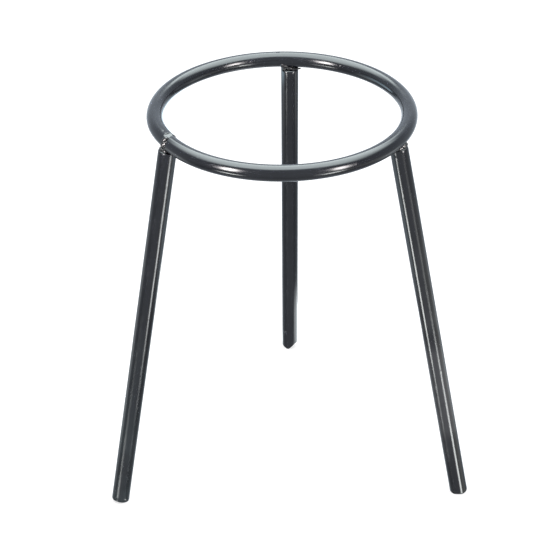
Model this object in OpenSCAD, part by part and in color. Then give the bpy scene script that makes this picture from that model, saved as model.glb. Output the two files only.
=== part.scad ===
// Lab tripod stand: a ring of round steel rod on three splayed legs.
// The ring is one rod bent round until its two ends meet. Each leg is a straight rod with its
// top end under the ring, held there by a short plug of weld metal.
// Millimetres. +Z is up and the back leg stands towards +Y. The origin lies on the bench, at
// the middle of the stand's footprint.

/* [Ring] */
// Outer diameter of the ring
ring_outer_d = 90.3; // [70:0.1:150]
// Diameter of the rod that the ring is bent from
ring_rod_d = 5.5; // [4:0.1:8]
// Height of the top of the ring above the bench
stand_height = 140.2; // [100:0.1:250]

/* [Ring joint] */
// How far round the ring its joint lies past the left leg, in degrees
joint_past = 0.5; // [-3:0.5:3]
// Narrowest gap between the two ends of the ring rod, at the inside of the ring
joint_gap = 0.3; // [0.1:0.1:0.8]
// Angle at which one end was sheared, so that the joint opens outwards
joint_shear = 27; // [0:1:35]

/* [Legs] */
// Diameter of the rod that the legs are cut from
leg_rod_d = 6.2; // [5:0.1:10]
// Rounding of the top edge of each leg
leg_top_round = 0.5; // [0.1:0.1:0.8]
// Depth of the flat that the bench has worn on the lowest corner of each foot
foot_wear = 0.25; // [0.05:0.05:0.5]

/* [Welds] */
// Thickness of the weld metal where the ring comes closest to a leg's top
weld_gap = 0.3; // [0.1:0.1:1]
// How far the plug of weld metal stays inside the sides of the ring rod
weld_inset = 0.4; // [0.2:0.05:1]
// How far the plug stays inside the rounded edge of the leg's top
weld_margin = 0.1; // [0:0.05:0.5]

/* [Left leg] */
// Direction of the leg's top, seen from the ring's axis, in degrees
left_azimuth = 208.4; // [195:0.1:225]
// How far round from its top the leg's foot stands, in degrees
left_skew = -0.4; // [-5:0.1:5]
// Distance from the ring's axis to where the leg's axis meets the bench
left_reach = 66.8; // [45:0.1:100]
// Angle of the foot's cut that leaves the inner side longer
left_cut_in = 1; // [0:1:25]
// Angle of the foot's cut that leaves the flank longer that lies further round the ring
left_cut_side = 0; // [-20:1:20]

/* [Right leg] */
// Direction of the leg's top, seen from the ring's axis, in degrees
right_azimuth = 332.5; // [315:0.1:345]
// How far round from its top the leg's foot stands, in degrees
right_skew = 3; // [-5:0.1:5]
// Distance from the ring's axis to where the leg's axis meets the bench
right_reach = 68.5; // [45:0.1:100]
// Angle of the foot's cut that leaves the inner side longer
right_cut_in = 0; // [0:1:25]
// Angle of the foot's cut that leaves the flank longer that lies further round the ring
right_cut_side = 0; // [-20:1:20]

/* [Back leg] */
// Direction of the leg's top, seen from the ring's axis, in degrees
back_azimuth = 85.6; // [75:0.1:105]
// How far round from its top the leg's foot stands, in degrees
back_skew = 1.6; // [-5:0.1:5]
// Distance from the ring's axis to where the leg's axis meets the bench
back_reach = 66.4; // [45:0.1:100]
// Angle of the foot's cut that leaves the inner side longer
back_cut_in = 17; // [0:1:25]
// Angle of the foot's cut that leaves the flank longer that lies further round the ring
back_cut_side = 13; // [-20:1:20]

/* [Hidden] */
$fn = 96;

ENAMEL = [0.12, 0.13, 0.14];
WELD_ENAMEL = [0.17, 0.18, 0.19];

ring_rod_r = ring_rod_d / 2;
ring_r = ring_outer_d / 2 - ring_rod_r;
ring_z = stand_height - ring_rod_r;
leg_rod_r = leg_rod_d / 2;
weld_top_r = ring_rod_r - weld_inset;
weld_foot_r = leg_rod_r - leg_top_round - weld_margin;

// A size that takes in the whole end of a rod
rod_end = 4 * leg_rod_d;

// Each leg as a list of its own sizes, which the functions below it read by name
LEFT = [left_azimuth, left_skew, left_reach, left_cut_in, left_cut_side];
RIGHT = [right_azimuth, right_skew, right_reach, right_cut_in, right_cut_side];
BACK = [back_azimuth, back_skew, back_reach, back_cut_in, back_cut_side];
function top_azimuth(leg) = leg[0];
function foot_azimuth(leg) = leg[0] + leg[1];
function reach(leg) = leg[2];
function cut_in(leg) = leg[3];
function cut_side(leg) = leg[4];

// A point at a distance from the ring's axis, in a direction, at a height
function polar(r, azimuth, z) = [r * cos(azimuth), r * sin(azimuth), z];

// The axis of a leg runs from the underside of the ring rod down to the bench
function leg_aim(leg) = polar(ring_r, top_azimuth(leg), ring_z - ring_rod_r);
function leg_foot(leg) = polar(reach(leg), foot_azimuth(leg), 0);
function leg_axis(leg) = leg_foot(leg) - leg_aim(leg);

// A leg's lean off the vertical, and the direction in which its foot stands out
function leg_lean(leg) = acos(-leg_axis(leg).z / norm(leg_axis(leg)));
function leg_heading(leg) = atan2(leg_axis(leg).y, leg_axis(leg).x);

// Where along its axis the top of a leg is cut, so that its face clears the ring rod by weld_gap
function leg_length(leg) =
    norm(leg_axis(leg)) - weld_gap - ring_rod_r * (1 - cos(leg_lean(leg)));

// How steeply the end face of a foot climbs across the rod, outwards and sideways
function climb_out(leg) = sin(leg_lean(leg)) + cos(leg_lean(leg)) * tan(cut_in(leg));
function climb_side(leg) = cos(leg_lean(leg)) * tan(cut_side(leg)) / cos(cut_in(leg));

// Where along its axis a leg is cut, so that the lowest corner of the foot would reach
// foot_wear below the bench before that corner was worn away
function cut_place(leg) =
    (leg_rod_r * norm([climb_out(leg), climb_side(leg)]) - foot_wear) / cos(leg_lean(leg));

// The footprint, from the ring and the three feet, about the ring's axis
x_high = max(leg_foot(RIGHT).x + leg_rod_r, ring_outer_d / 2);
x_low = min(leg_foot(LEFT).x - leg_rod_r, -ring_outer_d / 2);
y_high = max(leg_foot(BACK).y + leg_rod_r, ring_outer_d / 2);
y_low = min(leg_foot(LEFT).y - leg_rod_r, leg_foot(RIGHT).y - leg_rod_r, -ring_outer_d / 2);
ring_x = -(x_high + x_low) / 2;
ring_y = -(y_high + y_low) / 2;

// Puts what is drawn about the ring's axis in its place over the footprint
module about_ring_axis() translate([ring_x, ring_y, 0]) children();

// The ring rod before its joint is cut
module closed_ring() {
    translate([0, 0, ring_z])
        rotate_extrude()
            translate([ring_r, 0]) circle(r = ring_rod_r);
}

// The gap between the two ends of the ring rod, narrow inside the ring and wide outside it
module ring_joint_gap() {
    inside = ring_r - leg_rod_d;
    outside = ring_r + leg_rod_d;
    neck = ring_r - ring_rod_r;
    half = joint_gap / 2;
    opened = (outside - neck) * tan(joint_shear);
    rotate([0, 0, left_azimuth + joint_past])
        translate([0, 0, ring_z - ring_rod_d])
            linear_extrude(2 * ring_rod_d)
                polygon([[inside, -half], [outside, -half], [outside, half + opened],
                    [neck, half], [inside, half]]);
}

module ring_rod() {
    difference() {
        closed_ring();
        ring_joint_gap();
    }
}

// A straight rod up the Z axis, square at its foot and with a rounded edge at its top
module rounded_rod(from, to) {
    edge = to - leg_top_round;
    rotate_extrude() {
        translate([0, from]) square([leg_rod_r, edge - from]);
        translate([0, from]) square([leg_rod_r - leg_top_round, to - from]);
        translate([leg_rod_r - leg_top_round, edge]) circle(r = leg_top_round);
    }
}

// Everything below the plane Z = 0, as far as a size
module below(size) {
    translate([-size / 2, -size / 2, -size]) cube(size);
}

// Draws in a leg's own frame: its axis is Z, with 0 where it meets the bench, and +X is its
// outer side
module in_leg_frame(leg) {
    translate(leg_foot(leg))
        rotate([0, -leg_lean(leg), leg_heading(leg)])
            children();
}

// The rod of a leg, cut off at its foot, with the lowest corner worn flat on the bench
module leg_rod(leg) {
    difference() {
        in_leg_frame(leg)
            difference() {
                rounded_rod(-leg_rod_d, leg_length(leg));
                translate([0, 0, cut_place(leg)])
                    rotate([-cut_side(leg), -cut_in(leg), 0])
                        below(rod_end);
            }
        translate(leg_foot(leg)) below(rod_end);
    }
}

// The weld metal stands on the top of a leg and fills what is open up to the ring rod's middle.
// Its cone is as wide as weld_foot_r level with the leg's top, and runs on down to be cut there.
module weld_plug(leg) {
    deep = weld_gap + ring_rod_r;
    difference() {
        translate([leg_aim(leg).x, leg_aim(leg).y, ring_z - 2 * deep])
            cylinder(r1 = 2 * weld_foot_r - weld_top_r, r2 = weld_top_r, h = 2 * deep);
        in_leg_frame(leg)
            translate([0, 0, leg_length(leg)])
                below(rod_end);
        ring_rod();
    }
}

module ring() {
    color(ENAMEL) about_ring_axis() ring_rod();
}

module leg_left() {
    color(ENAMEL) about_ring_axis() leg_rod(LEFT);
}

module leg_right() {
    color(ENAMEL) about_ring_axis() leg_rod(RIGHT);
}

module leg_back() {
    color(ENAMEL) about_ring_axis() leg_rod(BACK);
}

module weld_left() {
    color(WELD_ENAMEL) about_ring_axis() weld_plug(LEFT);
}

module weld_right() {
    color(WELD_ENAMEL) about_ring_axis() weld_plug(RIGHT);
}

module weld_back() {
    color(WELD_ENAMEL) about_ring_axis() weld_plug(BACK);
}

ring();
leg_left();
leg_right();
leg_back();
weld_left();
weld_right();
weld_back();
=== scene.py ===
# %% [markdown]
# # A lab tripod stand in black enamel
# The real object is a ring of round steel rod on three straight legs. The pieces were welded
# together and the whole thing was dipped in black enamel. Its solids were made in CAD and arrive
# here as a fixed frame. This lesson dresses them: every rod gets a finer mesh with the small faults
# of a cheap welded thing, the welds become real beads, and the enamel is built from nodes.

# %% Load the frame
import math

import bmesh
import bpy
import numpy as np
from mathutils import Matrix, Vector


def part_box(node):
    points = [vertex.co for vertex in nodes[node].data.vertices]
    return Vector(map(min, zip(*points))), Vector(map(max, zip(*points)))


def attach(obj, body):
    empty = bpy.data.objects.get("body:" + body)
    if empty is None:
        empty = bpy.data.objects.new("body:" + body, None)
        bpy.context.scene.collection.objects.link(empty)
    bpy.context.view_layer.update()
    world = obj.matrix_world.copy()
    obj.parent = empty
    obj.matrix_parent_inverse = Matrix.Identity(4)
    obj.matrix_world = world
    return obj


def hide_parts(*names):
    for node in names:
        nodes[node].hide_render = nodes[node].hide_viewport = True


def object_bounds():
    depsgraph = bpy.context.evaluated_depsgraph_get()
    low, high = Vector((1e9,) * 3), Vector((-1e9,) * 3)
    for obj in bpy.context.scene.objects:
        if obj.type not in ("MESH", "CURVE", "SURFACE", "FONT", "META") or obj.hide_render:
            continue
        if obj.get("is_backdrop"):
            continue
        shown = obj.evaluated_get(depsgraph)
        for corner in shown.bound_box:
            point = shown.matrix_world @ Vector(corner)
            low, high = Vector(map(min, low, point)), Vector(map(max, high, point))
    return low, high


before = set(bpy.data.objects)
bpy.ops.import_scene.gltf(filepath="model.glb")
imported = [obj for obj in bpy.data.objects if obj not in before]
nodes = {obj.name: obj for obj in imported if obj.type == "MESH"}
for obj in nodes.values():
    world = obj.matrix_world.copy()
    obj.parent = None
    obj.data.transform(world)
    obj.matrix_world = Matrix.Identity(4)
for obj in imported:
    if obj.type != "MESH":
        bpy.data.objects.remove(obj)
cad_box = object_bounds()
print("the stand's box, in metres:", [[round(x, 5) for x in corner] for corner in cad_box])

# %% [markdown]
# ## Measuring the frame
# A dressed piece has to lie exactly where its solid lies, so its sizes are read off the solids.
# The ring's box gives its middle, the thickness of its rod and its radius.

# %% The ring's sizes
MM = 0.001

ring_low, ring_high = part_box("ring")
ring_middle = (ring_low + ring_high) / 2
ring_rod_r = (ring_high.z - ring_low.z) / 2
ring_r = (ring_high.x - ring_low.x) / 2 - ring_rod_r
print("ring radius %.2f mm, rod radius %.2f mm" % (ring_r / MM, ring_rod_r / MM))

# %% [markdown]
# A leg leans, so its box doesn't give its axis. The long faces of a round rod all look straight
# away from the axis, so the one direction that none of them looks along is the axis itself. A
# singular value decomposition finds it. Seen down that direction the rod is a circle, which gives
# its radius and its place.
#
# Each leg then gets directions of its own: up its axis, outwards from the ring, and sideways.

# %% Where each leg stands
def measure_leg(node):
    """A leg's foot on the bench, its three directions, its radius and its length."""
    mesh = nodes[node].data
    area = np.array([face.area for face in mesh.polygons])
    normals = np.array([face.normal for face in mesh.polygons])[area > area.max() / 3]
    up = Vector(np.linalg.svd(normals)[2][2]).normalized()
    up = up if up.z > 0 else -up
    across = up.orthogonal().normalized()
    other = up.cross(across)
    spots = np.array([vertex.co for vertex in mesh.vertices])
    u, v, w = (spots @ np.array(way) for way in (across, other, up))
    middle = across * (u.min() + u.max()) / 2 + other * (v.min() + v.max()) / 2
    foot = middle - up * (middle.z / up.z)
    outward = Vector((foot.x - ring_middle.x, foot.y - ring_middle.y, 0))
    outward = (outward - up * outward.dot(up)).normalized()
    return {
        "foot": foot,
        "up": up,
        "out": outward,
        "side": up.cross(outward),
        "radius": (u.max() - u.min()) / 2,
        "length": w.max() - foot.dot(up),
    }


legs = {name: measure_leg("leg_" + name) for name in ("left", "right", "back")}
for name, leg in legs.items():
    print(name, "leg: radius %.2f mm, length %.2f mm" % (leg["radius"] / MM, leg["length"] / MM))

# %% [markdown]
# The foot of each leg was sheared, so its end face is a tilted plane, and the bench has worn a
# small flat on its lowest corner. The plane is read off the faces that look down the leg.

# %% How each foot is cut
def measure_cut(node, leg):
    """The sheared face of a foot, as a point in it and the way it looks."""
    faces = [
        face
        for face in nodes[node].data.polygons
        if face.normal.dot(leg["up"]) < -0.8 and face.normal.z > -0.99999
    ]
    normal = sum((face.normal * face.area for face in faces), Vector()).normalized()
    largest = max(faces, key=lambda face: face.area)
    return largest.center.copy(), normal


for name, leg in legs.items():
    leg["cut_point"], leg["cut_normal"] = measure_cut("leg_" + name, leg)
    print(name, "foot's face looks along", [round(x, 3) for x in leg["cut_normal"]])

# %% [markdown]
# ## The camera
# The stand is looked down on from its front with a long lens, which keeps its three legs nearly
# parallel. The camera's place, and the place it looks at, are given from the foot of the ring's
# axis on the bench.

# %% Camera
LENS = 119.98
FILM_WIDTH = 36
LOOKS_FROM = Vector((-0.004894, -0.536835, 0.404100))
LOOKS_AT = Vector((-0.004894, -0.000785, 0.077190))
ROLL = math.radians(-0.65)


def add_object(name, data):
    """A new object in the scene, made of the given data."""
    made = bpy.data.objects.new(name, data)
    bpy.context.scene.collection.objects.link(made)
    return made


camera_data = bpy.data.cameras.new("camera")
camera_data.lens = LENS
camera_data.sensor_width = FILM_WIDTH
camera = add_object("camera", camera_data)
ring_foot = Vector((ring_middle.x, ring_middle.y, 0))
looks_from = ring_foot + LOOKS_FROM
looks_at = ring_foot + LOOKS_AT
aim = (looks_at - looks_from).to_track_quat("-Z", "Y").to_matrix().to_4x4()
roll = Matrix.Rotation(ROLL, 4, "Z")
camera.matrix_world = Matrix.Translation(looks_from) @ aim @ roll
bpy.context.scene.camera = camera
print("camera %.0f mm from the stand" % ((looks_from - looks_at).length / MM))

# %% [markdown]
# ## Skins from loops
# A round rod is a stack of closed loops of points. Once the loops lie right, joining each loop to
# the next makes the skin, and a last point closes each end. Arrays of numbers make this quick: one
# array holds all the loops, with a row for each loop and a column for each place around the rod.

# %% A helper that skins loops
AROUND = 72
turn = np.linspace(0, 2 * math.pi, AROUND, endpoint=False)


def skin(name, loops):
    """A smooth closed mesh through loops of points; the first and last loop close to a point."""
    count = len(loops)
    first, last = loops[0].mean(axis=0), loops[-1].mean(axis=0)
    spots = np.concatenate([loops.reshape(-1, 3), [first, last]])
    here = np.arange((count - 1) * AROUND)
    beside = here + 1 - AROUND * ((here + 1) % AROUND == 0)
    faces = np.stack([here, beside, beside + AROUND, here + AROUND], axis=1).tolist()
    start, end, around = count * AROUND, count * AROUND + 1, np.arange(AROUND)
    onward = (around + 1) % AROUND
    top = (count - 1) * AROUND
    faces += [(start, b, a) for a, b in zip(around.tolist(), onward.tolist())]
    faces += [(end, top + a, top + b) for a, b in zip(around.tolist(), onward.tolist())]
    mesh = bpy.data.meshes.new(name)
    mesh.from_pydata(spots.tolist(), [], faces)
    mesh.shade_smooth()
    piece = add_object(name, mesh)
    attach(piece, "root")
    print(name, "has", len(faces), "faces")
    return piece


# %% [markdown]
# ## Small faults
# Nothing that was drawn, bent, welded and dipped is perfectly round. Three kinds of fault matter,
# because gloss shows them: long draw marks and slow waves in the rod, which make a reflected line
# waver, and specks of dust under the enamel. All are heights that push a skin outwards, most by
# hundredths of a millimetre and the largest by a fifth of one.
#
# A wave that closes round the rod needs a whole number of crests around it. The sum of a few
# dozen such waves with random directions looks like no pattern at all.

# %% Waves and specks
def waves(seed, angle, along, crests, longest, shortest, size):
    """A smooth random height over a rod, from waves that close round it."""
    chance = np.random.default_rng(seed)
    height = np.zeros(np.broadcast(angle, along).shape)
    count = 40
    for _ in range(count):
        round_it = chance.integers(crests[0], crests[1] + 1)
        length = chance.uniform(shortest, longest) * chance.choice([-1, 1])
        phase = chance.uniform(0, 2 * math.pi)
        height += np.cos(round_it * angle + 2 * math.pi * along / length + phase)
    return size * height / math.sqrt(count)


def speck(angle, along, radius, spot_angle, spot_along, wide, high):
    """A soft round grain on a rod of a given radius, or a dent where high is negative."""
    turned = (angle - math.radians(spot_angle) + math.pi) % (2 * math.pi) - math.pi
    square = (turned * radius) ** 2 + (along - spot_along) ** 2
    return high * np.exp(-square / (2 * wide**2))


# %% [markdown]
# ## The ring
# The ring was bent round from one rod until its two ends met, over the left leg. One end was
# sawn square. The other was sheared at an angle, so the ends touch only at the inside of the ring
# and a narrow V opens outwards. Near the joint the bending tool let go of the rod, so each end
# lies a little inside the circle.
#
# A point on the skin is found from three numbers: how far round the ring it lies, how far round
# the rod, and how far from the rod's middle.

# %% A point on the ring's rod
JOINT = math.radians(208.9)
HALF_GAP = 0.15 * MM
JOINT_SHEAR = math.radians(27)
SHEARED_SPRING = 0.18 * MM, math.radians(16)
SQUARE_SPRING = 0.5 * MM, math.radians(13)
ring_neck = ring_r - ring_rod_r


def fading(away, deepest, reach):
    """A depth that fades smoothly with the angle away from an end."""
    return deepest * np.exp(-((away / reach) ** 2))


def sprung_in(azimuth):
    """How far inside the circle the rod lies, near each of its ends."""
    past = (azimuth - JOINT) % (2 * math.pi)
    return np.maximum(fading(past, *SHEARED_SPRING), fading(2 * math.pi - past, *SQUARE_SPRING))


def on_ring(azimuth, angle, reach, pulled):
    """Points at an angle round the rod (0 outwards, a quarter turn up), a reach from its middle."""
    r = ring_r + reach * np.cos(angle) - pulled
    x = ring_middle.x + r * np.cos(azimuth)
    y = ring_middle.y + r * np.sin(azimuth)
    z = ring_middle.z + reach * np.sin(angle)
    return np.stack(np.broadcast_arrays(x, y, z), axis=-1)


# %% [markdown]
# Where an end lies depends on how far out a point is: that is what makes one end square and the
# other sheared. Over the top the V between them was filled with weld metal, so the square end
# reaches on across the V there, as far as a thin crack. Low on the outer side the V stayed open.
#
# A file left one flat facet over the fill and the end of the rod. It starts with a small step,
# where the file bit in, and then gets deeper towards the sheared end. The rim of each end is a
# small quarter-round, as thick as the enamel.

# %% The ring's two ends
# The facet: its length on the rod, its depth, the way it faces, and how far round the ring it
# deepens; then the share of its depth that is the step, and the share of its length
FILED = 1.0 * MM
FILED_DEPTH = 0.65 * MM
FILED_TOWARDS = math.radians(88)
FILED_OVER = math.radians(2.85)
STEP_DEPTH = 0.45
STEP_LONG = 0.14
LEAST_ACROSS = 0.3

# Where the fill starts and fades, in degrees round the rod, then the crack's width in millimetres,
# how much narrower it gets, and where
FILL_STARTS = 38, 96
FILL_FADES = 185, 215
CRACK = 0.4
CRACK_NARROWS = 0.35
CRACK_NARROWING = 88, 125

# An end's rim, and its rows of points over the face and round the rim
END_RIM = 0.09 * MM
FACE_SHARES = np.linspace(0.12, 1, 8)
RIM_QUARTERS = np.linspace(0, math.pi / 2, 6)[1:]


def ease(value, low, high):
    """0 below low, 1 above high, and smooth between."""
    share = np.clip((value - low) / (high - low), 0, 1)
    return share * share * (3 - 2 * share)


def gap_at(r):
    """The width of the joint at a distance from the ring's axis."""
    return 2 * HALF_GAP + (r - ring_neck) * math.tan(JOINT_SHEAR)


def sheared_end_at(r):
    """How far round the ring the sheared end starts."""
    return JOINT + np.arctan2(gap_at(r) - HALF_GAP, r)


def square_end_at(r):
    """How far round the ring the square end lies, one lap on."""
    return JOINT + 2 * math.pi - np.arctan2(HALF_GAP, r)


degrees_round = np.degrees(turn)
filled = ease(degrees_round, *FILL_STARTS) * (1 - ease(degrees_round, *FILL_FADES))
crack = (CRACK - CRACK_NARROWS * ease(degrees_round, *CRACK_NARROWING)) * MM
rod_edge = ring_r + ring_rod_r * np.cos(turn)
reach_on = filled * np.maximum(gap_at(rod_edge) - crack, 0)


def filed_at(azimuth):
    """How far from the rod's middle the facet leaves the skin, at places near the square end."""
    start = JOINT + 2 * math.pi - (FILED + HALF_GAP) / ring_r
    share = np.clip((azimuth - start) / FILED_OVER, 0, 1)
    depth = FILED_DEPTH * (STEP_DEPTH * ease(share, 0, STEP_LONG) + (1 - STEP_DEPTH) * share)
    across = np.maximum(np.cos(turn - FILED_TOWARDS), LEAST_ACROSS)
    return np.minimum(ring_rod_r, (ring_rod_r - depth) / across)


def sheared_end():
    """Rows of (azimuth, reach) from the middle of the sheared face out over its rim."""
    rows = []
    for share in FACE_SHARES:
        reach = (ring_rod_r - END_RIM) * share
        rows.append((sheared_end_at(ring_r + reach * np.cos(turn)), reach + 0 * turn))
    for quarter in RIM_QUARTERS[:-1]:
        reach = ring_rod_r - END_RIM * (1 - math.sin(quarter))
        back = END_RIM * (1 - math.cos(quarter)) / ring_r
        rows.append((sheared_end_at(ring_r + reach * np.cos(turn)) + back, reach + 0 * turn))
    return rows


def square_end():
    """Rows from the middle of the square face out over its rim and up its filed slope."""
    edge = square_end_at(rod_edge) + reach_on / ring_r
    low = filed_at(edge)
    rows = []
    for share in FACE_SHARES:
        reach = (low - END_RIM) * share
        at = square_end_at(ring_r + reach * np.cos(turn)) + reach_on * share**2 / ring_r
        rows.append((at, reach))
    for quarter in RIM_QUARTERS:
        back = END_RIM * (1 - math.cos(quarter)) / ring_r
        rows.append((edge - back, low - END_RIM * (1 - math.sin(quarter))))
    for share in np.linspace(1, 0, 25)[1:-1]:
        at = edge - (FILED + reach_on) * (1 - share) / ring_r
        rows.append((at, filed_at(at)))
    return rows


sheared_rows = sheared_end()
square_rows = square_end()[::-1]
print("the ring's ends have", len(sheared_rows), "and", len(square_rows), "loops")

# %% [markdown]
# Between the ends the loops are spread evenly, but each place around the rod starts and stops
# where its own end lies. The faults go on last: slow waves, draw marks, a few specks and shallow
# dents, and a small nick at the back. The whole skin is sunk a little, so that what stands up
# stays inside the solid.
#
# A speck has its place round the ring and round the rod, in degrees, then its width and height in
# millimetres. The loops run one lap round from the joint, so each speck is set twice, a lap apart,
# and one of the two lands on them.

# %% The ring's skin
RING_LOOPS = 1040
RING_SUNK = 0.03 * MM
RING_HIGHEST = 0.08 * MM

ring_start = sheared_end_at(rod_edge) + END_RIM / ring_r
ring_stop = square_end_at(rod_edge) - FILED / ring_r
spread = np.linspace(0, 1, RING_LOOPS)[:, None]
body_azimuth = ring_start * (1 - spread) + ring_stop * spread
azimuth = np.concatenate(
    [[a for a, _ in sheared_rows], body_azimuth, [a for a, _ in square_rows]]
)
reach = np.concatenate(
    [
        [r for _, r in sheared_rows],
        np.full(body_azimuth.shape, ring_rod_r),
        [r for _, r in square_rows],
    ]
)
along_ring = azimuth * ring_r
ring_fault = waves(3, turn, along_ring, (1, 4), 60 * MM, 14 * MM, 0.007 * MM)
ring_fault += waves(4, turn, along_ring, (5, 14), 120 * MM, 40 * MM, 0.0022 * MM)
RING_SPECKS = (
    (357.7, 95, 0.22, 0.07), (354.6, 99, 0.2, 0.05), (77.8, 178, 0.18, 0.06),
    (50.9, 162, 0.2, 0.06), (105.9, 163, 0.25, 0.05), (59.3, 158, 0.25, 0.05),
    (91.2, 93, 0.3, -0.16), (148.0, 60, 0.3, 0.03), (232.0, 40, 0.25, 0.04),
    (301.0, 20, 0.3, 0.03), (204.8, 76, 0.45, -0.03),
)
lap = 2 * math.pi * ring_r
for spot_azimuth, spot_angle, wide, high in RING_SPECKS:
    spot_along = math.radians(spot_azimuth) * ring_r
    for spot in (spot_along, spot_along + lap):
        ring_fault += speck(turn, along_ring, ring_rod_r, spot_angle, spot, wide * MM, high * MM)
ring_fault -= RING_SUNK
ring_reach = reach + np.minimum(ring_fault, RING_HIGHEST) * reach / ring_rod_r
ring_spots = on_ring(azimuth, turn, ring_reach, sprung_in(azimuth))
ring_spots[..., 2] = np.minimum(ring_spots[..., 2], ring_high.z)
ring_piece = skin("ring_rod", ring_spots[:, ::-1])
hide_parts("ring")

# %% [markdown]
# ## The legs
# Each leg is a straight length of rod. Its top was cut square and rounded by the weld's heat. Its
# foot was cut, and worn flat where it meets the bench. The shears bit from both sides at the back
# leg and left a blunt chisel there, and the right foot's front edge is rubbed to a slope.
#
# An end is a function: from a place across the rod it tells how far along the leg the end face
# lies there. The loops are then built in the same order as the ring's: face, rim, long side, rim,
# face.

# %% Ends of a leg
# The right foot: how far its outer side is drawn down, and its rubbed edge
DRAWN_DOWN = 0.1
RUBBED_SLOPE = 0.6
RUBBED_DEPTH = 1.46 * MM

# The back foot: the chisel's gentle side, its steep side, its outer side, and how deep it sits
GENTLE_SLOPE = 0.42
GENTLE_FROM = 1.0 * MM
STEEP_FROM = 0.45 * MM
STEEP_HIGH = 2.5 * MM
OUTER_SLOPE = 0.09
FAR_OUT_SLOPE = 0.85
FAR_OUT_FROM = 0.3 * MM
CHISEL_DEPTH = 0.05 * MM


def sheared_face(leg, u, v):
    """How high the sheared plane of a foot lies over the bench."""
    normal, up = leg["cut_normal"], leg["up"]
    rise = normal.dot(leg["cut_point"] - leg["foot"])
    along = (rise - normal.dot(leg["out"]) * u - normal.dot(leg["side"]) * v) / normal.dot(up)
    return along * up.z + leg["out"].z * u + leg["side"].z * v


def worn_front(leg, u, v):
    """The same plane, drawn down on its outer side, with its front edge rubbed to a slope."""
    toward_viewer = -(leg["out"].y * u + leg["side"].y * v)
    drawn = sheared_face(leg, u, v) - DRAWN_DOWN * (u + leg["radius"])
    return np.maximum(drawn, RUBBED_SLOPE * toward_viewer - RUBBED_DEPTH)


def chisel(leg, u, v):
    """A blunt chisel: gentle on one side, steep on the other, and cut away on the outer side."""
    gentle = GENTLE_SLOPE * (v - GENTLE_FROM)
    steep = np.minimum(STEEP_FROM - v, STEEP_HIGH)
    outer = OUTER_SLOPE * (u + leg["radius"]) + FAR_OUT_SLOPE * np.maximum(u - FAR_OUT_FROM, 0)
    return np.maximum(gentle, steep) + outer - CHISEL_DEPTH


FOOT_SHAPES = {"left": sheared_face, "right": worn_front, "back": chisel}
for name, leg in legs.items():
    leg["foot_shape"] = FOOT_SHAPES[name]


def foot_end(leg, u, v):
    """Where the foot ends along the leg, at u outwards and v sideways from the axis."""
    height = np.maximum(leg["foot_shape"](leg, u, v), 0)
    return (height - leg["out"].z * u - leg["side"].z * v) / leg["up"].z


def top_end(leg, u, v):
    """Where the top ends along the leg: square across."""
    return leg["length"] + 0 * u


def rod_end_rows(leg, end_at, way, rim):
    """Rows of (along, reach) from the middle of an end face out over its rim."""
    radius = leg["radius"]
    rows = []
    for share in np.linspace(0.1, 1, 9):
        reach = (radius - rim) * share
        rows.append((end_at(leg, reach * np.cos(turn), reach * np.sin(turn)), reach))
    for quarter in np.linspace(0, math.pi / 2, 9)[1:-1]:
        reach = radius - rim * (1 - math.sin(quarter))
        at = end_at(leg, reach * np.cos(turn), reach * np.sin(turn))
        rows.append((at + way * rim * (1 - math.cos(quarter)), reach))
    return rows


# %% [markdown]
# The rims aren't the same all round. The shears roll a rod's edge over on one side and raise a
# burr on the other, so a rim's radius swings between two sizes. The direction of the larger one
# is an angle round the rod, counted from its outer side.

# %% Skinning a leg
LEG_LOOPS = 520
LEG_SUNK = 0.012 * MM


def swinging(small, large, toward):
    """A rim's radius around a rod, largest towards one side."""
    return (small + (large - small) * (0.5 + 0.5 * np.cos(turn - math.radians(toward))) ** 2) * MM


def leg_skin(name, leg, seed, top_rim, foot_rim, specks):
    """The whole skin of a leg's rod, from its foot to its top, with its faults."""
    radius = leg["radius"]
    low = rod_end_rows(leg, foot_end, 1, foot_rim)
    high = rod_end_rows(leg, top_end, -1, top_rim)[::-1]
    u, v = radius * np.cos(turn), radius * np.sin(turn)
    start = foot_end(leg, u, v) + foot_rim
    stop = top_end(leg, u, v) - top_rim
    spread = np.linspace(0, 1, LEG_LOOPS)[:, None]
    side = start * (1 - spread) + stop * spread
    along = np.concatenate([[a for a, _ in low], side, [a for a, _ in high]])
    low_reach, high_reach = ([r + 0 * turn for _, r in rows] for rows in (low, high))
    reach = np.concatenate([low_reach, np.full(side.shape, radius), high_reach])
    fault = waves(seed, turn, along, (1, 3), 70 * MM, 18 * MM, 0.006 * MM)
    fault += waves(seed + 1, turn, along, (4, 12), 300 * MM, 60 * MM, 0.0035 * MM)
    fault += waves(seed + 2, turn, along, (2, 6), 12 * MM, 5 * MM, 0.0016 * MM)
    for spot_along, spot_angle, wide, high_up in specks:
        fault += speck(turn, along, radius, spot_angle, spot_along * MM, wide * MM, high_up * MM)
    reach = reach + (fault - LEG_SUNK) * reach / radius
    across = reach[..., None] * (
        np.cos(turn)[:, None] * np.array(leg["out"]) + np.sin(turn)[:, None] * np.array(leg["side"])
    )
    spots = np.array(leg["foot"]) + along[..., None] * np.array(leg["up"]) + across
    spots[..., 2] = np.maximum(spots[..., 2], 0)
    piece = skin("rod_" + name, spots)
    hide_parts("leg_" + name)
    return piece


# %% [markdown]
# The left leg was cut square and has an even rim. The right leg's foot was rolled over on its
# outer side. The back leg kept sharp edges at its foot, while its top melted back in front, under
# the weld. The specks are grains under the enamel, each with its place along the leg, its angle,
# its width and its height. A negative height is a shallow dent.

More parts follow.
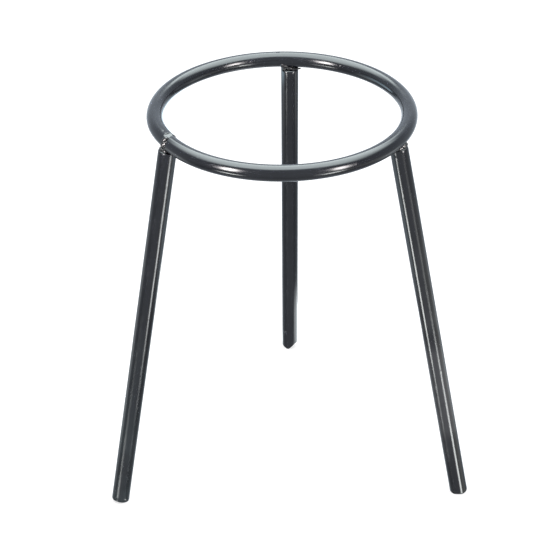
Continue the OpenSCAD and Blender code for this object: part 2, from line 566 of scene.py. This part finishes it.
# %% The three legs
# For each leg the seed of its waves, its top's rim, its foot's rim and its specks
LEG_FAULTS = {
    "left": (
        11, swinging(0.5, 0.62, 0), swinging(0.12, 0.25, -30),
        ((132, 19, 0.22, 0.05), (99.4, 30, 0.25, 0.05), (76.7, 22, 0.2, 0.06),
         (75.6, 25, 0.18, 0.05), (71.6, 20, 0.2, 0.05), (125.2, 84, 0.5, -0.03),
         (113.2, 82, 0.5, -0.03), (1.3, 44, 0.25, 0.14), (1.3, 99, 0.28, 0.2)),
    ),
    "right": (
        21, swinging(0.5, 1.1, 0), swinging(0.12, 0.7, 20),
        ((134.4, -92, 0.25, 0.05), (120.1, -88, 0.5, -0.02), (96.0, -92, 0.5, 0.02),
         (52.0, -40, 0.3, 0.03), (88.0, 15, 0.2, 0.04)),
    ),
    "back": (
        31, swinging(0.4, 1.0, 180), swinging(0.15, 0.25, 0),
        ((9.6, 143, 0.36, 0.2), (14.1, -172, 0.25, 0.05), (13.9, 176, 0.2, 0.04),
         (134.0, 178, 0.9, 0.03), (60.0, -150, 0.25, 0.04)),
    ),
}
leg_pieces = {name: leg_skin(name, legs[name], *faults) for name, faults in LEG_FAULTS.items()}

# %% [markdown]
# ## The welds
# A weld is a string of drops that melted into each other and into what they join. That is also
# how it can be made: small balls along the seam, then a voxel remesh that fuses them into one
# skin, then smoothing that lets them flow. A little randomness in place and size keeps the bead
# from looking turned on a lathe.

# %% A helper that melts drops together
GRAIN = 0.1 * MM
FLOW_FACTOR = 0.5
FLOW_STEPS = 28


def melt(name, drops):
    """One skin over a list of drops, each a middle and a radius."""
    balls = bmesh.new()
    for middle, radius in drops:
        bmesh.ops.create_icosphere(
            balls, subdivisions=3, radius=radius, matrix=Matrix.Translation(middle)
        )
    rough = bpy.data.meshes.new(name + "_drops")
    balls.to_mesh(rough)
    balls.free()
    piece = add_object(name, rough)
    remesh = piece.modifiers.new("fuse", "REMESH")
    remesh.mode = "VOXEL"
    remesh.voxel_size = GRAIN
    smooth = piece.modifiers.new("flow", "SMOOTH")
    smooth.factor = FLOW_FACTOR
    smooth.iterations = FLOW_STEPS
    ready = piece.evaluated_get(bpy.context.evaluated_depsgraph_get())
    melted = bpy.data.meshes.new_from_object(ready)
    melted.name = name
    piece.modifiers.clear()
    piece.data = melted
    bpy.data.meshes.remove(rough)
    melted.shade_smooth()
    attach(piece, "root")
    print(name, "has", len(melted.polygons), "faces")
    return piece


# %% [markdown]
# The bead of a leg runs around its top, where the ring's underside comes down to it. A drop sits
# between the rim of the leg and the ring rod, so its height is found from both: half way between
# the leg's end face and the underside of the ring above that place.

# %% Drops around a leg's top
# Each circle of drops, as a share of the leg's radius and a number of drops
SEAM_CIRCLES = ((0.0, 1), (0.35, 7), (0.68, 15))
LEAST_ROOM = 0.3 * MM
DROP_OVERLAP = 0.28 * MM
LARGEST_DROP = 0.95 * MM


def under_ring(x, y):
    """The height of the ring's underside over a place, or of its middle beyond its sides."""
    off = math.hypot(x - ring_middle.x, y - ring_middle.y) - ring_r
    return ring_middle.z - math.sqrt(max(ring_rod_r**2 - off**2, 0))


def seam_drops(leg, seed, bulge):
    """Drops round the seam between a leg's top and the ring."""
    chance = np.random.default_rng(seed)
    top = leg["foot"] + leg["up"] * leg["length"]
    drops = []
    for share, count in SEAM_CIRCLES:
        for k in range(count):
            angle = 2 * math.pi * (k + chance.uniform(-0.2, 0.2)) / count
            out = leg["radius"] * share * bulge
            place = top + leg["out"] * out * math.cos(angle) + leg["side"] * out * math.sin(angle)
            above = under_ring(place.x, place.y)
            room = max(above - place.z, LEAST_ROOM)
            middle = Vector((place.x, place.y, place.z + room / 2))
            radius = (room / 2 + DROP_OVERLAP) * chance.uniform(0.9, 1.12)
            drops.append((middle, min(radius, LARGEST_DROP)))
    return drops


# %% [markdown]
# The three welds differ. On the left the metal also fills the V of the ring's joint, to just under
# the rod's surface, and two short ridges stand on the ring beside it. On the right two longer
# ridges lie beside the leg's top, and the metal crept along the underside of the ring. At the back
# a blob of it climbed the inner side of the ring rod, and a thin burr runs down beside the leg.

# %% The welds
def ring_drop(azimuth, angle, out, radius):
    """A drop on the ring rod: degrees round the ring and round the rod, then millimetres."""
    a, b = math.radians(azimuth), math.radians(angle)
    r = ring_r + out * MM * math.cos(b)
    return (
        Vector((
            ring_middle.x + r * math.cos(a),
            ring_middle.y + r * math.sin(a),
            ring_middle.z + out * MM * math.sin(b),
        )),
        radius * MM,
    )


def joint_drops(seed, below):
    """Drops that fill the ring's open joint, up to a depth below the surface of its rod."""
    chance = np.random.default_rng(seed)
    drops = []
    for angle in range(-90, 46, 15):
        for share in (0.25, 0.6, 1.0):
            across = math.cos(math.radians(angle))
            reach = share * ring_rod_r
            gap = gap_at(ring_r + reach * across)
            radius = min(gap / 2 + 0.12 * MM, 1.0 * MM) * chance.uniform(0.9, 1.05)
            reach = min(reach, ring_rod_r - below * MM - radius)
            middle = JOINT + (gap / 2 - HALF_GAP) / ring_r
            shaken = angle + chance.uniform(-5, 5)
            drops.append(ring_drop(math.degrees(middle), shaken, reach / MM, radius / MM))
    return drops


def beside_top(leg, out, side, above, radius):
    """A drop by a leg's top, in millimetres outwards, sideways and up from its middle."""
    place = leg["foot"] + leg["up"] * (leg["length"] + above * MM)
    return place + (leg["out"] * out + leg["side"] * side) * MM, radius * MM


def ridge(first, way, long, count):
    """A row of drops: the first one's middle and radius, the way the row runs, and its length."""
    middle, radius = first
    way = Vector(way).normalized() * long * MM
    return [(middle + way * (k / (count - 1) - 0.5), radius) for k in range(count)]


left, right, back = (legs[name] for name in ("left", "right", "back"))
weld_drops = {
    "left": [
        *seam_drops(left, 41, 1.0),
        *joint_drops(45, 0.9),
        *ridge(ring_drop(209.6, 51, 1.8, 0.92), (0.81, -0.04, 0.58), 0.8, 7),
        *ridge(ring_drop(209.7, -5, 1.7, 0.88), (0.87, -0.1, 0.49), 0.9, 7),
        *(ring_drop(210.2 + 0.5 * k, -35 + 3 * k, 2.0, 0.65) for k in range(4)),
        beside_top(left, -0.4, 2.2, 0.2, 0.75),
        beside_top(left, -1.4, 1.7, 0.3, 0.7),
    ],
    "right": [
        *seam_drops(right, 42, 1.0),
        beside_top(right, 2.1, 0.7, 0.55, 0.95),
        beside_top(right, 2.2, -0.5, 0.55, 0.9),
        beside_top(right, 1.5, 1.6, 0.35, 0.85),
        beside_top(right, 1.6, -1.5, 0.3, 0.8),
        *ridge(beside_top(right, 0.7, -1.6, 0.55, 0.55), (0.7, 0.52, 0.48), 2.0, 9),
        *ridge(beside_top(right, 1.7, -1.6, 0.55, 0.55), (0.7, 0.52, 0.48), 2.0, 9),
        ring_drop(326.5, -48, 2.5, 0.5),
        ring_drop(324.9, -42, 2.5, 0.42),
        ring_drop(323.4, -38, 2.52, 0.34),
        ring_drop(322.2, -33, 2.55, 0.28),
    ],
    "back": [
        *seam_drops(back, 43, 0.72),
        ring_drop(88.9, -128, 2.5, 0.9),
        ring_drop(89.1, -143, 2.5, 0.85),
        ring_drop(88.2, -140, 2.55, 0.85),
        ring_drop(87.4, -134, 2.5, 0.8),
        ring_drop(89.3, -156, 2.5, 0.55),
        beside_top(back, -0.7, 2.3, 0.1, 0.8),
        beside_top(back, -1.3, 1.9, 0.2, 0.7),
        *(beside_top(back, -1.9 + 0.1 * k, -1.0 - 0.45 * k, 0.35, 0.34) for k in range(7)),
    ],
}
weld_pieces = {}
for name, drops in weld_drops.items():
    weld = melt("bead_" + name, drops)
    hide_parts("weld_" + name)
    weld_pieces[name] = weld

# %% [markdown]
# ## The enamel
# Black stove enamel is a deep, faintly blue black under a hard gloss. Its colour hardly shows:
# what the eye sees is what it mirrors. What tells it from plastic is its skin, which is never
# quite flat. It has a fine orange peel, a slow thickening and thinning, and dust that dried in.
# The rods and the welds share all of this, so it is one shader node group, with a value for how
# strong each effect is.

# %% The enamel's node group
def group_input(group, name, kind, value=None):
    """Gives a node group an input, with its usual value."""
    socket = group.interface.new_socket(name, in_out="INPUT", socket_type=kind)
    if value is not None:
        socket.default_value = value


def make_enamel_group():
    group = bpy.data.node_groups.new("enamel skin", "ShaderNodeTree")
    group_input(group, "Vector", "NodeSocketVector")
    group_input(group, "Deep", "NodeSocketColor", (0.0038, 0.0043, 0.0074, 1))
    # the paler colour: thin enamel on the ring and welds, and a painted sheen low on the front legs
    group_input(group, "Thin And Sheen", "NodeSocketColor", (0.0078, 0.0086, 0.0124, 1))
    group_input(group, "Gloss Roughness", "NodeSocketFloat", 0.15)
    group_input(group, "Dull Roughness", "NodeSocketFloat", 0.22)
    group_input(group, "Peel", "NodeSocketFloat", 1.0)
    group_input(group, "Dust", "NodeSocketFloat", 1.0)
    group_input(group, "Mottle And Sheen", "NodeSocketFloat", 1.0)
    for name, kind in (("Colour", "Color"), ("Roughness", "Float"), ("Height", "Float")):
        group.interface.new_socket(name, in_out="OUTPUT", socket_type="NodeSocket" + kind)
    return group


enamel_group = make_enamel_group()
print("enamel group:", [item.name for item in enamel_group.interface.items_tree])

# %% [markdown]
# Inside the group, a slow noise moves the colour and the roughness between their two values. Two
# finer noises make the peel. Dust is a Voronoi pattern in which most cells stay empty: a cell's
# own random colour decides whether its middle holds a grain.

# %% Inside the group
# How fine each pattern is, in crests or cells to a metre, and how many finer layers it has
SLOW_SCALE, SLOW_DETAIL = 55, 3
DULL_SCALE, DULL_DETAIL = 140, 4
PEEL_SCALE, FINE_PEEL_SCALE, PEEL_DETAIL = 420, 1500, 2
FINE_PEEL = 0.08
DUST_SCALE = 330
EMPTY_CELLS = 0.9


def join(tree, source, target):
    tree.links.new(source, target)


def feed(tree, value, target):
    """Joins an input to the socket that gives its value, or sets it to a plain value."""
    if isinstance(value, bpy.types.NodeSocket):
        join(tree, value, target)
    else:
        target.default_value = value


def add_node(tree, kind, **settings):
    """A new node with its settings."""
    node = tree.nodes.new(kind)
    for name, value in settings.items():
        setattr(node, name, value)
    return node


def noise(tree, vector, scale, detail):
    node = add_node(tree, "ShaderNodeTexNoise")
    node.inputs["Scale"].default_value = scale
    node.inputs["Detail"].default_value = detail
    join(tree, vector, node.inputs["Vector"])
    return node.outputs["Fac"]


def spread_out(tree, value, low, high, to_low=0.0, to_high=1.0):
    """Stretches a value's narrow range to a wide one, with soft ends."""
    node = add_node(tree, "ShaderNodeMapRange", interpolation_type="SMOOTHSTEP")
    for name, number in (
        ("From Min", low), ("From Max", high), ("To Min", to_low), ("To Max", to_high)
    ):
        feed(tree, number, node.inputs[name])
    join(tree, value, node.inputs["Value"])
    return node.outputs["Result"]


def math_node(tree, operation, first, second):
    node = add_node(tree, "ShaderNodeMath", operation=operation)
    feed(tree, first, node.inputs[0])
    feed(tree, second, node.inputs[1])
    return node.outputs["Value"]


def times(tree, first, second):
    return math_node(tree, "MULTIPLY", first, second)


def mix(tree, kind, share, first, second):
    """The first number or colour where the share is 0, and the second where it is 1."""
    node = add_node(tree, "ShaderNodeMix", data_type=kind)
    first_slot, result = (2, 0) if kind == "FLOAT" else (6, 2)
    join(tree, share, node.inputs["Factor"])
    feed(tree, first, node.inputs[first_slot])
    feed(tree, second, node.inputs[first_slot + 1])
    return node.outputs[result]


def fill_enamel_group(group):
    given = add_node(group, "NodeGroupInput").outputs
    made = add_node(group, "NodeGroupOutput").inputs
    place = given["Vector"]
    slow = spread_out(group, noise(group, place, SLOW_SCALE, SLOW_DETAIL), 0.3, 0.6)
    # the share of the paler colour: random mottle, scaled on the front legs by a band of heights
    # that paints a sheen there
    slow = times(group, slow, given["Mottle And Sheen"])
    join(group, mix(group, "RGBA", slow, given["Deep"], given["Thin And Sheen"]), made["Colour"])
    dull = spread_out(group, noise(group, place, DULL_SCALE, DULL_DETAIL), 0.4, 0.75)
    rough = mix(group, "FLOAT", dull, given["Gloss Roughness"], given["Dull Roughness"])
    join(group, rough, made["Roughness"])
    peel = noise(group, place, PEEL_SCALE, PEEL_DETAIL)
    fine = noise(group, place, FINE_PEEL_SCALE, PEEL_DETAIL)
    peel = math_node(group, "ADD", peel, times(group, fine, FINE_PEEL))
    peel = times(group, peel, given["Peel"])
    cells = add_node(group, "ShaderNodeTexVoronoi")
    cells.inputs["Scale"].default_value = DUST_SCALE
    join(group, place, cells.inputs["Vector"])
    grain = spread_out(group, cells.outputs["Distance"], 0.02, 0.1, 1.0, 0.0)
    lot = add_node(group, "ShaderNodeSeparateColor")
    join(group, cells.outputs["Color"], lot.inputs["Color"])
    chosen = math_node(group, "GREATER_THAN", lot.outputs["Red"], EMPTY_CELLS)
    dust = times(group, times(group, grain, chosen), given["Dust"])
    join(group, math_node(group, "ADD", peel, dust), made["Height"])


fill_enamel_group(enamel_group)
print("enamel group has", len(enamel_group.nodes), "nodes")

# %% [markdown]
# A material then needs little: the group, a bump node that turns its height into small tilts of
# the surface, and the Principled shader. The index of refraction sets how much the glass of the
# enamel mirrors. Heights are in metres, so the bump's distance is the real depth of the peel.
#
# The two front legs get a paler colour low down, the right one most: a painted sheen in place of
# the brighter reflection low on the legs. It is held to a band of heights, with soft ends: the
# height where it starts, where it is full, where it stops being full, and where it has gone.

# %% The four finishes
GLASS_IOR = 1.5
ROD_PEEL = 0.004 * MM
WELD_PEEL = 0.006 * MM


def enamel_material(name, values, depth, painted_sheen=None):
    material = bpy.data.materials.new(name)
    material.use_nodes = True
    tree = material.node_tree
    shader = tree.nodes["Principled BSDF"]
    shader.inputs["IOR"].default_value = GLASS_IOR
    place = add_node(tree, "ShaderNodeTexCoord")
    coat = add_node(tree, "ShaderNodeGroup", node_tree=enamel_group)
    join(tree, place.outputs["Object"], coat.inputs["Vector"])
    for key, value in values.items():
        coat.inputs[key].default_value = value
    # a band of heights where the paler colour shows: a painted sheen on the front legs
    if painted_sheen:
        parts = add_node(tree, "ShaderNodeSeparateXYZ")
        join(tree, place.outputs["Object"], parts.inputs["Vector"])
        starts, full, wanes, gone = (height * MM for height in painted_sheen)
        rising = spread_out(tree, parts.outputs["Z"], starts, full)
        falling = spread_out(tree, parts.outputs["Z"], wanes, gone, 1.0, 0.0)
        join(tree, times(tree, rising, falling), coat.inputs["Mottle And Sheen"])
    bump = add_node(tree, "ShaderNodeBump")
    bump.inputs["Distance"].default_value = depth
    join(tree, coat.outputs["Height"], bump.inputs["Height"])
    join(tree, coat.outputs["Colour"], shader.inputs["Base Color"])
    join(tree, coat.outputs["Roughness"], shader.inputs["Roughness"])
    join(tree, bump.outputs["Normal"], shader.inputs["Normal"])
    return material


rod_enamel = enamel_material("rod enamel", {}, ROD_PEEL)
# the front legs' paler colours, shown low down, are a painted sheen
left_enamel = enamel_material(
    "left leg enamel",
    {"Deep": (0.0038, 0.0043, 0.0074, 1), "Thin And Sheen": (0.026, 0.034, 0.038, 1),
     "Gloss Roughness": 0.16, "Dull Roughness": 0.23},
    ROD_PEEL, (-20, -10, 0, 90),
)
right_enamel = enamel_material(
    "right leg enamel",
    {"Deep": (0.005, 0.0054, 0.008, 1), "Thin And Sheen": (0.07, 0.071, 0.075, 1),
     "Gloss Roughness": 0.12, "Dull Roughness": 0.18},
    ROD_PEEL, (8, 27, 45, 125),
)
weld_enamel = enamel_material(
    "weld enamel",
    {"Deep": (0.012, 0.012, 0.013, 1), "Thin And Sheen": (0.035, 0.031, 0.03, 1),
     "Gloss Roughness": 0.09, "Dull Roughness": 0.16, "Peel": 0.6},
    WELD_PEEL,
)
for piece, enamel in (
    (ring_piece, rod_enamel),
    (leg_pieces["back"], rod_enamel),
    (leg_pieces["left"], left_enamel),
    (leg_pieces["right"], right_enamel),
):
    piece.data.materials.append(enamel)
for weld in weld_pieces.values():
    weld.data.materials.clear()
    weld.data.materials.append(weld_enamel)

# %% [markdown]
# ## The studio
# Black gloss is lit by what it mirrors. A studio hangs a large soft panel over such a thing, sets
# a lamp to each side of the camera, and stands it on white. The panel draws the pale band along
# the ring, the lamps draw the lines down the legs, and the lamps' images in the table draw the
# second lines.
#
# Each of these is a card that only gloss can see. Its edges are soft, as a real diffuser's are.
# One node group shapes them: it takes a place on the card, where each half side is 1, and gives 1
# inside, falling to 0. The sides and the ends fall off apart from each other.

# %% Soft-edged light
def make_window_group():
    group = bpy.data.node_groups.new("soft window", "ShaderNodeTree")
    group_input(group, "Vector", "NodeSocketVector")
    for name in ("Side Inner", "Side Outer", "End Inner", "End Outer"):
        group_input(group, name, "NodeSocketFloat", 1.0)
    group.interface.new_socket("Light", in_out="OUTPUT", socket_type="NodeSocketFloat")
    given = add_node(group, "NodeGroupInput").outputs
    made = add_node(group, "NodeGroupOutput").inputs
    parts = add_node(group, "ShaderNodeSeparateXYZ")
    join(group, given["Vector"], parts.inputs["Vector"])
    falls = []
    for axis, edge in (("X", "Side"), ("Y", "End")):
        away = math_node(group, "ABSOLUTE", parts.outputs[axis], 0.0)
        inner, outer = given[edge + " Inner"], given[edge + " Outer"]
        falls.append(spread_out(group, away, inner, outer, 1.0, 0.0))
    join(group, times(group, *falls), made["Light"])
    return group


window_group = make_window_group()


def card(name, middle, right, above, size, colour, strength, sides, ends):
    """A glowing card that only gloss sees; size is half its width and half its height."""
    mesh = bpy.data.meshes.new(name)
    x, y = sides[1], ends[1]
    mesh.from_pydata([(-x, -y, 0), (x, -y, 0), (x, y, 0), (-x, y, 0)], [], [(0, 1, 2, 3)])
    piece = add_object(name, mesh)
    right, above = right.normalized(), above.normalized()
    facing = right.cross(above)
    turned = Matrix((right, above, facing)).transposed().to_4x4()
    piece.matrix_world = Matrix.Translation(middle) @ turned @ Matrix.Diagonal((*size, 1, 1))
    material = bpy.data.materials.new(name)
    material.use_nodes = True
    material.cycles.emission_sampling = "NONE"
    tree = material.node_tree
    tree.nodes.clear()
    place = add_node(tree, "ShaderNodeTexCoord")
    window = add_node(tree, "ShaderNodeGroup", node_tree=window_group)
    for socket, value in zip(list(window.inputs)[1:], (*sides, *ends)):
        socket.default_value = value
    join(tree, place.outputs["Object"], window.inputs["Vector"])
    glow = add_node(tree, "ShaderNodeEmission")
    glow.inputs["Color"].default_value = (*colour, 1)
    glow.inputs["Strength"].default_value = strength
    clear = add_node(tree, "ShaderNodeBsdfTransparent")
    both = add_node(tree, "ShaderNodeMixShader")
    join(tree, window.outputs["Light"], both.inputs["Fac"])
    join(tree, clear.outputs["BSDF"], both.inputs[1])
    join(tree, glow.outputs["Emission"], both.inputs[2])
    out = add_node(tree, "ShaderNodeOutputMaterial")
    join(tree, both.outputs["Shader"], out.inputs["Surface"])
    mesh.materials.append(material)
    piece.visible_camera = False
    piece.visible_diffuse = False
    piece.visible_shadow = False
    piece.visible_transmission = False
    piece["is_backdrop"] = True


# %% [markdown]
# The panel hangs level over the stand. It is two cards: a broad one over the front and the middle,
# and a narrower one behind it, where the real panel is cut away at its corners.

# %% The panel
PANEL_HEIGHT = 0.38
PANEL_COLOUR = (0.9, 1.0, 1.01)
PANEL_STRENGTH = 9.2
RIGHTWARDS, BACKWARDS, UPWARDS = Vector((1, 0, 0)), Vector((0, 1, 0)), Vector((0, 0, 1))


def panel(name, behind, above, half_wide, half_deep, sides, ends):
    """A level card over the ring; all its lengths are shares of the panel's height."""
    card(
        name, ring_middle + Vector((0, behind, above)) * PANEL_HEIGHT, RIGHTWARDS, BACKWARDS,
        (half_wide * PANEL_HEIGHT, half_deep * PANEL_HEIGHT), PANEL_COLOUR, PANEL_STRENGTH,
        sides, ends,
    )


panel("panel_front", 0.19, 1.0, 0.96, 0.60, (0.35, 1.65), (0.68, 1.32))
panel("panel_back", 1.0, 1.01, 0.55, 0.34, (0.4, 1.6), (0.6, 1.4))

# %% [markdown]
# The lamps and their images stand upright around the ring. Each is placed by where it is seen from
# the ring: an angle to the right of the viewer's direction, a distance and a height over the ring.
# The table mirrors each lamp. A paler haze lies above each image, and one more at the right side.

# %% The lamps and their images
LAMP_COLOUR = (1.0, 0.955, 0.95)
IMAGE_COLOUR = (0.97, 1.0, 0.99)


def side_card(name, azimuth, height, size, colour, strength, sides, ends, distance=0.8):
    """An upright card, seen from the ring at an azimuth in degrees and a height."""
    a = math.radians(azimuth)
    away = Vector((math.sin(a), -math.cos(a), 0))
    middle = ring_middle + away * distance + Vector((0, 0, height))
    card(name, middle, UPWARDS.cross(away), UPWARDS, size, colour, strength, sides, ends)


side_card("lamp_left", -43, 0.22, (0.085, 0.2), LAMP_COLOUR, 54, (0.2, 1.7), (0.2, 1.7))
side_card("lamp_right", 46, 0.14, (0.085, 0.2), LAMP_COLOUR, 34, (0.2, 1.7), (0.2, 1.7))
side_card("image_left", -47, -0.6, (0.11, 0.12), IMAGE_COLOUR, 18, (0.1, 1.9), (0.7, 1.3))
side_card("haze_left", -46, -0.455, (0.1, 0.06), IMAGE_COLOUR, 2.6, (0.1, 1.9), (0.2, 1.8))
side_card("image_right", 42, -0.48, (0.11, 0.107), IMAGE_COLOUR, 17, (0.1, 1.9), (0.85, 1.15))
side_card("haze_right", 42, -0.32, (0.13, 0.09), IMAGE_COLOUR, 2.6, (0.1, 1.9), (0.6, 1.5))
side_card("haze_side", 77, -0.42, (0.24, 0.16), IMAGE_COLOUR, 1.1, (0.4, 1.6), (0.4, 1.6))

# %% [markdown]
# Pale things stand close by on both sides, and show as soft strips along the edges of the front
# legs. Three more are small: one lies on the table to the right of the back foot, one hangs to the
# left of the back leg's top, and one stands between the front legs.

# %% Pale sides
NEAR = 0.27
SIDE_COLOUR = (0.93, 1.0, 1.04)
side_card("pale_left", -100, -0.162, (0.06, 0.065), SIDE_COLOUR, 1.4, (0.6, 1.4), (0.5, 1.5), NEAR)
side_card("pale_right", 100, -0.165, (0.06, 0.055), SIDE_COLOUR, 1.5, (0.5, 1.4), (0.3, 1.6), NEAR)
card(
    "pale_back", back["foot"] + Vector((0.0177, 0.007, 0.0005)), Vector((0.88, -0.47, 0)),
    Vector((0.47, 0.88, 0)), (0.018, 0.016), SIDE_COLOUR, 3.3, (0.5, 1.5), (0.88, 1.12),
)
card(
    "pale_top", ring_middle + Vector((-0.0314, 0.048, -0.0195)), -BACKWARDS, UPWARDS,
    (0.019, 0.011), (0.77, 1.0, 1.15), 2.6, (0.5, 1.5), (0.6, 1.4),
)
card(
    "pale_between", ring_middle + Vector((0.0038, -0.0197, -0.0525)), -BACKWARDS, UPWARDS,
    (0.014, 0.032), (0.85, 1.0, 1.1), 1.3, (0.4, 1.6), (0.4, 1.6),
)

# %% [markdown]
# ## The floor
# The table is plain and pale. For the camera it glows a little as well as taking light, so that it
# comes out white and keeps the soft shadow of the stand. Gloss doesn't see it at all: it sees the
# surroundings instead, which are as pale as the table.

# %% Floor
HALF = 3.0
FLOOR_GREY = (0.5, 0.5, 0.5, 1)
FLOOR_GLOW = 0.68

floor_mesh = bpy.data.meshes.new("floor")
floor_mesh.from_pydata(
    [(-HALF, -HALF, 0), (HALF, -HALF, 0), (HALF, HALF, 0), (-HALF, HALF, 0)], [], [(0, 1, 2, 3)]
)
floor = add_object("floor", floor_mesh)
floor.visible_glossy = False
floor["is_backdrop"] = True
floor_paint = bpy.data.materials.new("floor")
floor_paint.use_nodes = True
tree = floor_paint.node_tree
tree.nodes.clear()
matt = add_node(tree, "ShaderNodeBsdfDiffuse")
matt.inputs["Color"].default_value = FLOOR_GREY
glow = add_node(tree, "ShaderNodeEmission")
seen = add_node(tree, "ShaderNodeLightPath")
join(tree, times(tree, seen.outputs["Is Camera Ray"], FLOOR_GLOW), glow.inputs["Strength"])
both = add_node(tree, "ShaderNodeAddShader")
join(tree, matt.outputs["BSDF"], both.inputs[0])
join(tree, glow.outputs["Emission"], both.inputs[1])
join(tree, both.outputs["Shader"], add_node(tree, "ShaderNodeOutputMaterial").inputs["Surface"])
floor_mesh.materials.append(floor_paint)

# %% [markdown]
# ## The surroundings
# The camera sees white. Gloss sees a pale, slightly blue room. It is brightest behind, where the
# backdrop is lit, and dimmer towards the sides, straight below, and low down at the sides. Matt
# things are lit by an even, dimmer white.
#
# Each change of brightness follows one part of the direction looked in: from where to where, and
# from what to what.

# %% World
MATT_LIGHT = 0.6
FRONT_TINT, BACK_TINT = (0.94, 1.0, 1.1, 1), (0.89, 1.0, 1.12, 1)

world = bpy.data.worlds.new("surroundings")
bpy.context.scene.world = world
world.use_nodes = True
tree = world.node_tree
tree.nodes.clear()
way = add_node(tree, "ShaderNodeTexCoord").outputs["Generated"]
parts = add_node(tree, "ShaderNodeSeparateXYZ")
join(tree, way, parts.inputs["Vector"])
room = spread_out(tree, parts.outputs["Y"], -0.9, 0.95, 0.93, 1.12)
leftwards = times(tree, parts.outputs["X"], -1.0)
for toward, change in (
    (leftwards, (0.3, 0.8, 1.0, 0.74)),
    (parts.outputs["X"], (0.3, 0.8, 1.0, 0.66)),
    (parts.outputs["Z"], (-0.8, -0.3, 0.7, 1.0)),
):
    room = times(tree, room, spread_out(tree, toward, *change))
aside = spread_out(tree, math_node(tree, "ABSOLUTE", parts.outputs["X"], 0.0), 0.45, 0.85)
low_down = spread_out(tree, parts.outputs["Z"], -0.45, -0.2, 0.42, 0.0)
low_aside = math_node(tree, "SUBTRACT", 1.0, times(tree, aside, low_down))
room = times(tree, room, low_aside)
seen = add_node(tree, "ShaderNodeLightPath")
is_gloss, is_camera = seen.outputs["Is Glossy Ray"], seen.outputs["Is Camera Ray"]
for_gloss = mix(tree, "FLOAT", is_gloss, MATT_LIGHT, room)
backwards = spread_out(tree, parts.outputs["Y"], -0.6, 0.8)
room_tint = mix(tree, "RGBA", backwards, FRONT_TINT, BACK_TINT)
sky = add_node(tree, "ShaderNodeBackground")
join(tree, mix(tree, "RGBA", is_gloss, (1, 1, 1, 1), room_tint), sky.inputs["Color"])
join(tree, mix(tree, "FLOAT", is_camera, for_gloss, 1.0), sky.inputs["Strength"])
join(tree, sky.outputs["Background"], add_node(tree, "ShaderNodeOutputWorld").inputs["Surface"])

# %% [markdown]
# One soft lamp overhead gives the floor its light and the stand its shadow. It is hidden from
# gloss, which already sees the panel.

# %% Lamp
SOFT_TOP_SIZE = 0.8
SOFT_TOP_WATTS = 7

soft_top = bpy.data.lights.new("soft_top", "AREA")
soft_top.shape = "RECTANGLE"
soft_top.size = SOFT_TOP_SIZE
soft_top.size_y = SOFT_TOP_SIZE
soft_top.energy = SOFT_TOP_WATTS
lamp = add_object("soft_top", soft_top)
lamp.location = ring_middle + Vector((0, 0.1, 0.7))
lamp.visible_glossy = False
lamp.visible_camera = False
bpy.context.scene.view_settings.view_transform = "Standard"

# %% [markdown]
# ## The stand's size
# Dressing mustn't change the stand's size, so both boxes are printed: the solids' and the dressed
# stand's.
# Dressing mustn't change the stand's size, so both boxes are written down to be compared.

# %% Sizes
made_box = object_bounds()
for name, box in (("solids", cad_box), ("dressed", made_box)):
    print(name, [[round(x / MM, 2) for x in corner] for corner in box])
